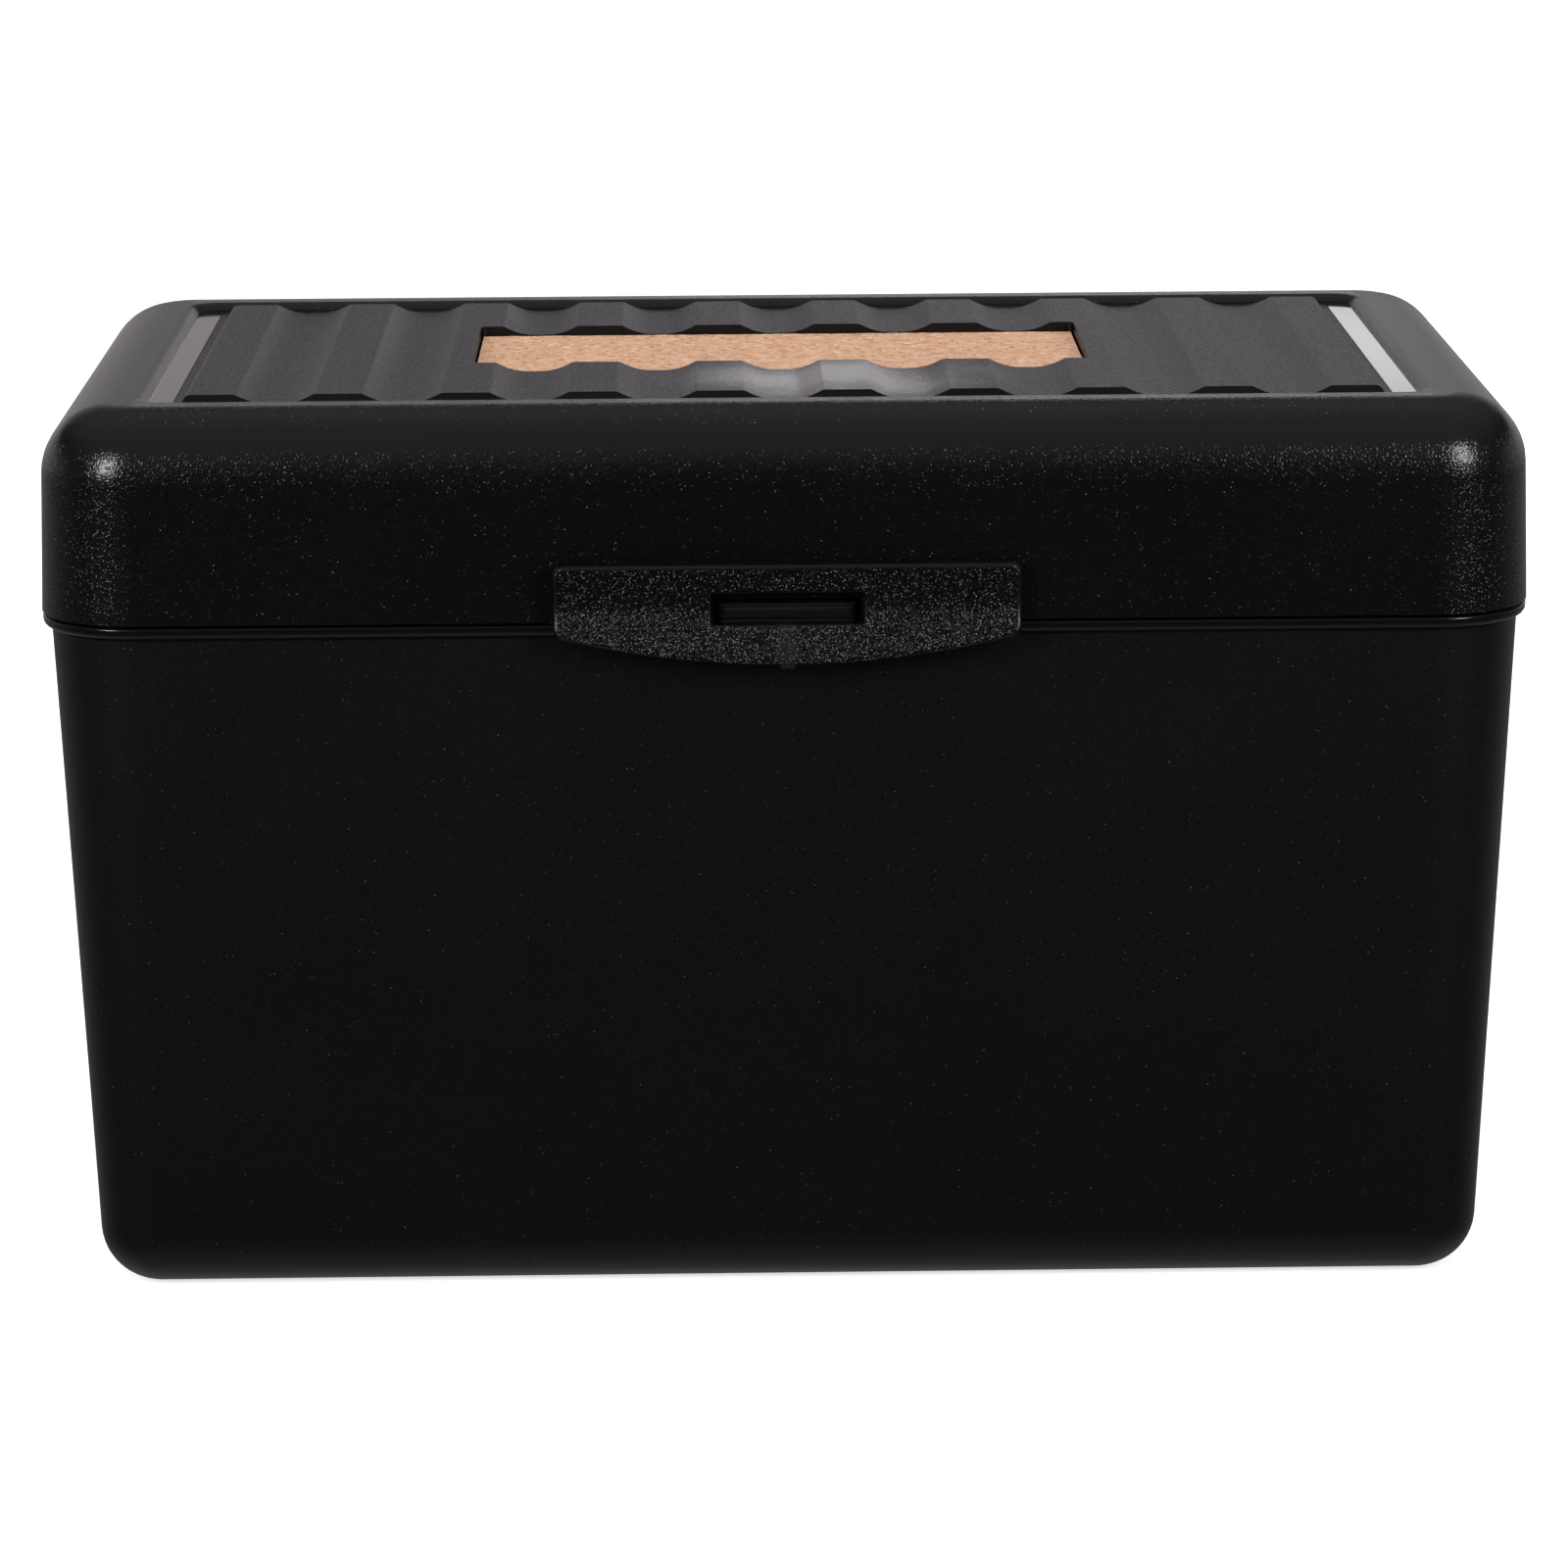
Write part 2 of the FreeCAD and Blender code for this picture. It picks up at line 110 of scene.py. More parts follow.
class BoxSizes(bpy.types.PropertyGroup):
    """Places on the box that the finishes follow."""

    clasp_rise: FloatProperty(
        name="Clasp rise", description="Clasp's top above the seam", default=8.1 * MM, unit="LENGTH")
    rim_height: FloatProperty(
        name="Rim height", description="Smooth rim of the tub below the seam", default=2.1 * MM,
        unit="LENGTH")
    wall: FloatProperty(name="Wall", description="Moulded wall", default=2.2 * MM, unit="LENGTH")
    corner: FloatProperty(
        name="Corner", description="Lid's corner in plan", default=13.5 * MM, unit="LENGTH")
    tub_inset: FloatProperty(
        name="Tub inset", description="Tub's wall behind the lid's at the seam", default=1.2 * MM,
        unit="LENGTH")
    tub_draft: FloatProperty(
        name="Tub draft", description="Lean of the tub's walls", default=math.radians(2.4), subtype="ANGLE")
    lid_draft: FloatProperty(
        name="Lid draft", description="Lean of the lid's walls", default=math.radians(1.75), subtype="ANGLE")
    recess_margin: FloatProperty(
        name="Recess margin", description="Recess floor's edge behind the lid's outline", default=14.65 * MM,
        unit="LENGTH")
    recess_corner: FloatProperty(
        name="Recess corner", description="Corner of the recess floor", default=2.5 * MM, unit="LENGTH")
    recess_depth: FloatProperty(
        name="Recess depth", description="Recess floor below the lid's top", default=1.0 * MM, unit="LENGTH")
    clasp_side_drop: FloatProperty(
        name="Clasp side drop", description="Clasp's sides below the seam", default=1.5 * MM, unit="LENGTH")
    clasp_window_low: FloatProperty(
        name="Clasp window foot", description="Window's lower edge over the seam", default=0.15 * MM,
        unit="LENGTH")
    clasp_window_high: FloatProperty(
        name="Clasp window head", description="Window's upper edge over the seam", default=4.35 * MM,
        unit="LENGTH")
    clasp_window_width: FloatProperty(
        name="Clasp window", description="Window's width", default=20.3 * MM, unit="LENGTH")
    cork_gap: FloatProperty(
        name="Cork gap", description="Gap between the cork and its window", default=0.3 * MM, unit="LENGTH")
    cork_window_corner: FloatProperty(
        name="Cork window corner", description="Corner of the cork's window", default=0.8 * MM, unit="LENGTH")
    cork_cell: FloatProperty(
        name="Cork mesh", description="Spacing of the cork sheet's points", default=0.42 * MM, unit="LENGTH")


class FinishColours(bpy.types.PropertyGroup):
    """Colours and grain sizes of the finishes."""

    plastic: FloatVectorProperty(
        name="Plastic", description="Black of the lid", size=4, subtype="COLOR",
        default=linear_colour("070607"))
    tub: FloatVectorProperty(
        name="Tub", description="Black of the tub", size=4, subtype="COLOR", default=linear_colour("080708"))
    plastic_worn: FloatVectorProperty(
        name="Plastic, paler", description="Paler clouds in the black", size=4, subtype="COLOR",
        default=linear_colour("0b0a0b"))
    panel: FloatVectorProperty(
        name="Insert", description="Charcoal of the corrugated insert", size=4, subtype="COLOR",
        default=linear_colour("1e1d1e"))
    clasp: FloatVectorProperty(
        name="Clasp", description="Black of the clasp", size=4, subtype="COLOR",
        default=linear_colour("040404"))
    # Painted glint colour: grain tips are painted this pale to stand in for their sparkle in the light
    glint_paint: FloatVectorProperty(
        name="Burnished tips", description="Grain tips that handling has rubbed pale", size=4,
        subtype="COLOR", default=linear_colour("7a787a"))
    cork_pale: FloatVectorProperty(
        name="Cork, pale", description="Palest granules", size=4, subtype="COLOR",
        default=linear_colour("e3bd9f"))
    cork_tan: FloatVectorProperty(
        name="Cork, tan", description="Most granules", size=4, subtype="COLOR",
        default=linear_colour("d2a789"))
    cork_dark: FloatVectorProperty(
        name="Cork, dark", description="Darker granules", size=4, subtype="COLOR",
        default=linear_colour("b98a69"))
    cork_bark: FloatVectorProperty(
        name="Cork, bark", description="Crumbs of bark", size=4, subtype="COLOR",
        default=linear_colour("7c5138"))
    lid_grain: FloatProperty(
        name="Lid grain", description="Width of the lid's leather-like pebbles", default=0.4 * MM,
        unit="LENGTH")
    lid_relief: FloatProperty(
        name="Lid relief", description="Height of the lid's pebbles", default=0.033 * MM, unit="LENGTH")
    tub_grain: FloatProperty(
        name="Tub grain", description="Width of the tub's fine grain", default=0.26 * MM, unit="LENGTH")
    tub_relief: FloatProperty(
        name="Tub relief", description="Height of the tub's fine grain", default=0.03 * MM, unit="LENGTH")
    panel_grain: FloatProperty(
        name="Insert grain", description="Width of the insert's etched grain", default=0.32 * MM,
        unit="LENGTH")
    panel_relief: FloatProperty(
        name="Insert relief", description="Height of the insert's etched grain", default=0.02 * MM,
        unit="LENGTH")
    clasp_grain: FloatProperty(
        name="Clasp grain", description="Width of the clasp's sharp grain", default=0.2 * MM,
        unit="LENGTH")
    clasp_relief: FloatProperty(
        name="Clasp relief", description="Height of the clasp's sharp grain", default=0.04 * MM,
        unit="LENGTH")
    cork_granule: FloatProperty(
        name="Cork granule", description="Width of a cork granule", default=0.85 * MM, unit="LENGTH")


class StudioSettings(bpy.types.PropertyGroup):
    """Camera and lights."""

    camera_place: FloatVectorProperty(
        name="Camera place", description="Where the camera stands", size=3, subtype="TRANSLATION",
        unit="LENGTH", default=(-0.01106, -0.7555, 0.2433))
    camera_pitch: FloatProperty(
        name="Camera pitch", description="How far it looks down", default=0.2397, subtype="ANGLE")
    camera_yaw: FloatProperty(
        name="Camera yaw", description="How far it turns right", default=0.01503, subtype="ANGLE")
    camera_roll: FloatProperty(
        name="Camera roll", description="How far it leans", default=0.00607, subtype="ANGLE")
    lens: FloatProperty(name="Lens", description="Focal length", default=123.75, unit="CAMERA")
    softbox_power: FloatProperty(
        name="Softbox power", description="Each of the two front softboxes", default=4.6, unit="POWER")
    top_power: FloatProperty(
        name="Top power", description="Overhead softbox", default=5.0, unit="POWER")
    back_power: FloatProperty(
        name="Back power", description="Long low lamp behind the box", default=0.0775, unit="POWER")
    ambient: FloatProperty(name="Ambient", description="Soft light from all round", default=0.4, min=0.0)


def add(tree, kind, inputs=None, out=0, **settings):
    """Adds a node, sets and links it, and returns one of its outputs, if it has any."""
    made = tree.nodes.new(kind)
    for name, value in settings.items():
        setattr(made, name, value)
    for socket, value in (inputs or {}).items():
        if isinstance(value, bpy.types.NodeSocket):
            tree.links.new(value, made.inputs[socket])
        else:
            made.inputs[socket].default_value = value
    return made.outputs[out] if made.outputs else None


def new_finish(name):
    """Empty material with its node tree and the piece's own coordinates."""
    material = bpy.data.materials.new(name)
    material.use_nodes = True
    tree = material.node_tree
    tree.nodes.clear()
    return material, tree, add(tree, COORDINATES, out="Object")


def dress(node_name, material):
    """Puts a finish on a CAD piece."""
    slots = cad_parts[node_name].data.materials
    slots.clear()
    slots.append(material)


def seam_height():
    """Height of the seam between tub and lid."""
    return clasp_high.z - bpy.context.scene.box_sizes.clasp_rise


def grain_cells(tree, place, width):
    """Distance to the nearest pebble's middle, in pebble widths, and that pebble's own random lots."""
    reach = add(tree, VORONOI, {"Vector": place, "Scale": 1 / width}, out="Distance")
    middle = reach.node.outputs["Position"]
    return reach, add(tree, LOT, {"Vector": middle}, out="Color")


def pebble_height(tree, place, width, rare=0.0, least=0.35):
    """Height of a moulded grain: round pebbles of unlike height with creases between.

    Only the share of pebbles above rare grows from the least height to the full one.
    """
    pebble_reach, fine_scale, fine_share = 0.6, 1.3, 0.5
    reach, lot = grain_cells(tree, place, width)
    chance = add(tree, SEPARATE, {0: lot}, out="X")
    tall = add(tree, RANGE, {VALUE: chance, START: rare, FIRST: least})
    across = add(tree, MATH, {0: reach, 1: 1 / pebble_reach}, operation="MULTIPLY")
    square = add(tree, MATH, {0: across, 1: 2.0}, operation="POWER")
    dome = add(tree, MATH, {0: 1.0, 1: square}, operation="SUBTRACT", use_clamp=True)
    pebble = add(tree, MATH, {0: dome, 1: tall}, operation="MULTIPLY")
    fine = add(tree, NOISE, {"Vector": place, "Scale": fine_scale / width, "Detail": 1.0})
    return add(tree, MATH, {0: fine, 1: fine_share, 2: pebble}, operation="MULTIPLY_ADD")


def painted_glint_tips(tree, place, width, share):
    """Mask of painted glints: grain tips painted pale, as dots of unlike strength on a share of its pebbles,
    standing in for their sparkle.

    The dots are drawn about as coarse as a pixel of the picture, because finer ones wouldn't show.
    """
    dot_edge, dot_core, faintest = 0.5, 0.3, 0.1
    reach, lot = grain_cells(tree, place, width)
    bound = add(tree, MATH, {0: 1.0, 1: share}, operation="SUBTRACT")
    chance = add(tree, SEPARATE, {0: lot}, out="Y")
    chosen = add(tree, MATH, {0: chance, 1: bound}, operation="GREATER_THAN")
    strong = add(tree, RANGE, {VALUE: add(tree, SEPARATE, {0: lot}, out="Z"), FIRST: faintest})
    round_dot = add(tree, RANGE, {VALUE: reach, START: dot_edge, END: dot_core}, **SMOOTH)
    dot = add(tree, MATH, {0: round_dot, 1: strong}, operation="MULTIPLY")
    return add(tree, MATH, {0: dot, 1: chosen}, operation="MULTIPLY")


def outline_distance(tree, place, half_x, half_y, corner, draft=0.0, top=0.0):
    """Distance outside a rounded rectangle that leans in below a height; negative inside it."""
    size = add(tree, VECTOR, {0: place}, operation="ABSOLUTE")
    height = add(tree, SEPARATE, {0: place}, out="Z")
    drop = add(tree, MATH, {0: top, 1: height}, operation="SUBTRACT")
    lean = add(tree, MATH, {0: drop, 1: math.tan(draft)}, operation="MULTIPLY")
    flat = add(tree, VECTOR, {0: size, 1: (1, 1, 0)}, operation="MULTIPLY")
    widened = add(tree, VECTOR, {0: flat, 1: add(tree, COMBINE, {0: lean, 1: lean})}, operation="ADD")
    past = add(tree, VECTOR, {0: widened, 1: (half_x - corner, half_y - corner, 0)}, operation="SUBTRACT")
    beyond = add(tree, VECTOR, {0: past, 1: (0, 0, 0)}, operation="MAXIMUM")
    length = add(tree, VECTOR, {0: beyond}, out="Value", operation="LENGTH")
    return add(tree, MATH, {0: length, 1: corner}, operation="SUBTRACT")


def clouded_black(tree, place, one_black, other_black, width):
    """Black that drifts between two shades in soft clouds of a given width."""
    clouds = add(tree, NOISE, {"Vector": place, "Scale": 1 / width, "Detail": 3.0})
    return add(tree, MIX, {FACTOR: clouds, COLOUR_A: one_black, COLOUR_B: other_black}, **IN_COLOUR)


def tub_finish():
    """Injection-moulded polypropylene with a fine spark-eroded texture.

    To the eye: a deep soft black with faint painted glints, a nub painted paler as painted sheen, and a
    smooth rim that draws a bright line under the seam.
    """
    sizes, colours = bpy.context.scene.box_sizes, bpy.context.scene.finish_colours
    material, tree, place = new_finish("moulded_polypropylene_fine_matte")
    height = add(tree, SEPARATE, {0: place}, out="Z")
    seam = seam_height()
    rim_foot = seam - sizes.rim_height
    rim = add(tree, RANGE, {VALUE: height, START: rim_foot - 0.4 * MM, END: rim_foot}, **SMOOTH)
    mid_wall = sizes.tub_inset + sizes.wall / 2
    outside = outline_distance(tree, place, lid_high.x - mid_wall, -lid_low.y - mid_wall,
                               sizes.corner - mid_wall, sizes.tub_draft, seam)
    inner = add(tree, RANGE, {VALUE: outside, START: 0.2 * MM, END: -0.2 * MM}, **SMOOTH)
    smooth = add(tree, MATH, {0: rim, 1: inner}, operation="MAXIMUM")
    grain = pebble_height(tree, place, colours.tub_grain, rare=0.93, least=0.2)
    kept = add(tree, MATH, {0: 1.0, 1: smooth}, operation="SUBTRACT")
    relief = add(tree, MATH, {0: grain, 1: kept}, operation="MULTIPLY")
    bump = add(tree, BUMP, {"Height": relief, "Strength": 1.0, "Distance": colours.tub_relief})
    patches = add(tree, NOISE, {"Vector": place, "Scale": 1 / (18 * MM), "Detail": 3.0})
    matte = add(tree, RANGE, {VALUE: patches, FIRST: 0.3, LAST: 0.36})
    satin = add(tree, MIX, {FACTOR: rim, NUMBER_A: matte, NUMBER_B: 0.2})
    rough = add(tree, MIX, {FACTOR: inner, NUMBER_A: satin, NUMBER_B: 0.36})
    black = clouded_black(tree, place, colours.plastic_worn, colours.tub, 40 * MM)
    # Painted glints: a few grain tips painted pale to stand in for faint sparkle
    speck, speck_share, speck_strength = 0.8 * colours.tub_grain, 0.003, 0.4
    tips = painted_glint_tips(tree, place, speck, speck_share)
    faint = add(tree, MATH, {0: tips, 1: speck_strength}, operation="MULTIPLY")
    glints = add(tree, MATH, {0: faint, 1: kept}, operation="MULTIPLY")
    speckled = add(tree, MIX, {FACTOR: glints, COLOUR_A: black, COLOUR_B: colours.glint_paint}, **IN_COLOUR)
    # Painted sheen: the nub above the seam is painted a quarter of the way to the insert's charcoal, standing
    # in for its highlights
    nub_painted_sheen = add(tree, RANGE, {VALUE: height, START: seam + 0.4 * MM, END: seam + 0.8 * MM, LAST: 0.25},
              **SMOOTH)
    colour = add(tree, MIX, {FACTOR: nub_painted_sheen, COLOUR_A: speckled, COLOUR_B: colours.panel}, **IN_COLOUR)
    add(tree, OUTPUT, {"Surface": add(tree, PRINCIPLED, {
        "Base Color": colour, "Roughness": rough, "IOR": POLYPROPYLENE_IOR, "Specular IOR Level": 0.45,
        "Normal": bump})})
    return material


def lid_finish():
    """Injection-moulded polypropylene with a leather-like grain.

    To the eye: black with pebbles that sparkle on the rounded corners, helped by painted glints, a polished
    recess floor and a smooth inside.
    """
    sizes, colours = bpy.context.scene.box_sizes, bpy.context.scene.finish_colours
    material, tree, place = new_finish("moulded_polypropylene_leather_grain")
    side = add(tree, MATH, {0: add(tree, SEPARATE, {0: place}, out="X")}, operation="ABSOLUTE")
    height = add(tree, SEPARATE, {0: place}, out="Z")
    edge, top = lid_high.x, lid_high.z
    half_wall = sizes.wall / 2
    outside = outline_distance(tree, place, edge - half_wall, -lid_low.y - half_wall,
                               sizes.corner - half_wall, -sizes.lid_draft, seam_height())
    within = add(tree, RANGE, {VALUE: outside, START: 0.2 * MM, END: -0.2 * MM}, **SMOOTH)
    ceiling = top - sizes.wall
    under_roof = add(tree, RANGE, {VALUE: height, START: ceiling + 0.15 * MM, END: ceiling + 0.05 * MM},
                     **SMOOTH)
    inner = add(tree, MATH, {0: within, 1: under_roof}, operation="MULTIPLY")
    recess_x, recess_y = edge - sizes.recess_margin, -lid_low.y - sizes.recess_margin
    recess = outline_distance(tree, place, recess_x, recess_y, sizes.recess_corner)
    in_recess = add(tree, RANGE, {VALUE: recess, START: 0.15 * MM, END: 0.05 * MM}, **SMOOTH)
    floor = top - sizes.recess_depth
    level = add(tree, RANGE, {VALUE: height, START: floor + 0.2 * MM, END: floor + 0.1 * MM}, **SMOOTH)
    polished = add(tree, MATH, {0: in_recess, 1: level}, operation="MULTIPLY")
    smooth = add(tree, MATH, {0: inner, 1: polished}, operation="MAXIMUM")
    grain = pebble_height(tree, place, colours.lid_grain)
    kept = add(tree, MATH, {0: 1.0, 1: smooth}, operation="SUBTRACT")
    relief = add(tree, MATH, {0: grain, 1: kept}, operation="MULTIPLY")
    bump = add(tree, BUMP, {"Height": relief, "Strength": 1.0, "Distance": colours.lid_relief})
    patches = add(tree, NOISE, {"Vector": place, "Scale": 1 / (15 * MM), "Detail": 3.0})
    satin = add(tree, RANGE, {VALUE: patches, FIRST: 0.18, LAST: 0.24})
    # The flat margins round the recess are duller than the rest
    flank = add(tree, RANGE, {VALUE: side, START: recess_x, END: recess_x + 2 * MM}, **SMOOTH)
    upper = add(tree, RANGE, {VALUE: height, START: top - 4 * MM, END: top - 1 * MM}, **SMOOTH)
    margin = add(tree, MATH, {0: flank, 1: upper}, operation="MULTIPLY")
    near_recess = add(tree, RANGE, {VALUE: recess, START: 6 * MM, END: 1 * MM}, **SMOOTH)
    matte = add(tree, MATH, {0: near_recess, 1: margin}, operation="MAXIMUM")
    dulled = add(tree, MIX, {FACTOR: matte, NUMBER_A: satin, NUMBER_B: 0.3})
    rough = add(tree, MIX, {FACTOR: polished, NUMBER_A: dulled, NUMBER_B: 0.09})
    gloss = add(tree, RANGE, {VALUE: polished, FIRST: 0.45, LAST: 0.2})
    black = clouded_black(tree, place, colours.plastic, colours.plastic_worn, 40 * MM)
    # Shares of the grain tips painted pale as painted glints: most on the upright corners, where the front
    # softboxes' streak falls, less on the round edge
    on_wall, on_corner, on_round, on_top = 0.004, 0.1, 0.032, 0.01
    before_edge = add(tree, RANGE, {VALUE: side, START: edge - 3 * MM, END: edge - 7 * MM, FIRST: on_wall,
                                    LAST: on_corner}, **SMOOTH)
    corner_glint_share = add(tree, RANGE, {VALUE: side, START: edge - 14 * MM, END: edge - 9 * MM, FIRST: on_wall,
                                    LAST: before_edge}, **SMOOTH)
    rounded = add(tree, RANGE, {VALUE: height, START: top - 12 * MM, END: top - 8 * MM, FIRST: corner_glint_share,
                                LAST: on_round}, **SMOOTH)
    glint_share = add(tree, RANGE, {VALUE: height, START: top - 4 * MM, END: top - 2 * MM, FIRST: rounded,
                                LAST: on_top}, **SMOOTH)
    rubbed_patch_and_glint_dots = painted_glint_tips(tree, place, 0.42 * colours.lid_grain, glint_share)
    tips = add(tree, MATH, {0: rubbed_patch_and_glint_dots, 1: kept}, operation="MULTIPLY")
    colour = add(tree, MIX, {FACTOR: tips, COLOUR_A: black, COLOUR_B: colours.glint_paint}, **IN_COLOUR)
    add(tree, OUTPUT, {"Surface": add(tree, PRINCIPLED, {
        "Base Color": colour, "Roughness": rough, "IOR": POLYPROPYLENE_IOR, "Specular IOR Level": gloss,
        "Normal": bump})})
    return material


def panel_finish():
    """Moulded ABS sheet with a matte etched texture.

    To the eye: a charcoal with a broad grey sheen, rubbed brighter in front of the window. The window's walls
    are painted near-black as painted shade.
    """
    sizes, colours = bpy.context.scene.box_sizes, bpy.context.scene.finish_colours
    material, tree, place = new_finish("moulded_abs_matte_etched")
    grain = pebble_height(tree, place, colours.panel_grain)
    patch_middle = Vector((6 * MM, (panel_low.y + cork_low.y) / 2, panel_high.z))
    away = add(tree, VECTOR, {0: place, 1: patch_middle}, operation="SUBTRACT")
    spread = add(tree, VECTOR, {0: away, 1: (1, 1.2, 0)}, operation="MULTIPLY")
    reach = add(tree, VECTOR, {0: spread}, out="Value", operation="LENGTH")
    wobble = add(tree, NOISE, {"Vector": place, "Scale": 1 / (9 * MM), "Detail": 3.0})
    patch_edge = add(tree, MATH, {0: wobble, 1: 14 * MM, 2: reach}, operation="MULTIPLY_ADD")
    rubbed_patch_and_glint_dots = add(tree, RANGE, {VALUE: patch_edge, START: 34 * MM, END: 12 * MM}, **SMOOTH)
    kept = add(tree, RANGE, {VALUE: rubbed_patch_and_glint_dots, FIRST: 1.0, LAST: 0.4})
    relief = add(tree, MATH, {0: grain, 1: kept}, operation="MULTIPLY")
    bump = add(tree, BUMP, {"Height": relief, "Strength": 1.0, "Distance": colours.panel_relief})
    speckle = add(tree, NOISE, {"Vector": place, "Scale": 1 / (0.3 * MM), "Detail": 2.0})
    etched = add(tree, RANGE, {VALUE: speckle, START: 0.3, END: 0.7, FIRST: 0.34, LAST: 0.52})
    worn = add(tree, MIX, {FACTOR: rubbed_patch_and_glint_dots, NUMBER_A: etched, NUMBER_B: 0.19})
    length = add(tree, MATH, {0: add(tree, SEPARATE, {0: place}, out="Y")}, operation="ABSOLUTE")
    end = add(tree, RANGE, {VALUE: length, START: panel_high.y - 0.1 * MM, END: panel_high.y - 0.03 * MM},
              **SMOOTH)
    rough = add(tree, MIX, {FACTOR: end, NUMBER_A: worn, NUMBER_B: 0.3})
    sheen = add(tree, RANGE, {VALUE: speckle, START: 0.3, END: 0.7, FIRST: 1.15, LAST: 0.4})
    ended = add(tree, MIX, {FACTOR: end, NUMBER_A: sheen, NUMBER_B: 0.3})
    # Painted shade: the window's walls beside the cork are painted the clasp's near-black, with less gloss
    from_cork = add(tree, VECTOR, {0: place, 1: (cork_low + cork_high) / 2}, operation="SUBTRACT")
    window = (cork_high - cork_low) / 2 + Vector((sizes.cork_gap, sizes.cork_gap, 0))
    beside = outline_distance(tree, from_cork, window.x, window.y, sizes.cork_window_corner)
    shaded_walls = add(tree, RANGE, {VALUE: beside, START: 0.06 * MM, END: 0.02 * MM}, **SMOOTH)
    gloss = add(tree, MIX, {FACTOR: shaded_walls, NUMBER_A: ended, NUMBER_B: 0.22})
    charcoal = clouded_black(tree, place, colours.panel, colours.plastic_worn, 30 * MM)
    colour = add(tree, MIX, {FACTOR: shaded_walls, COLOUR_A: charcoal, COLOUR_B: colours.clasp}, **IN_COLOUR)
    add(tree, OUTPUT, {"Surface": add(tree, PRINCIPLED, {
        "Base Color": colour, "Roughness": rough, "IOR": ABS_IOR, "Specular IOR Level": gloss,
        "Normal": bump})})
    return material


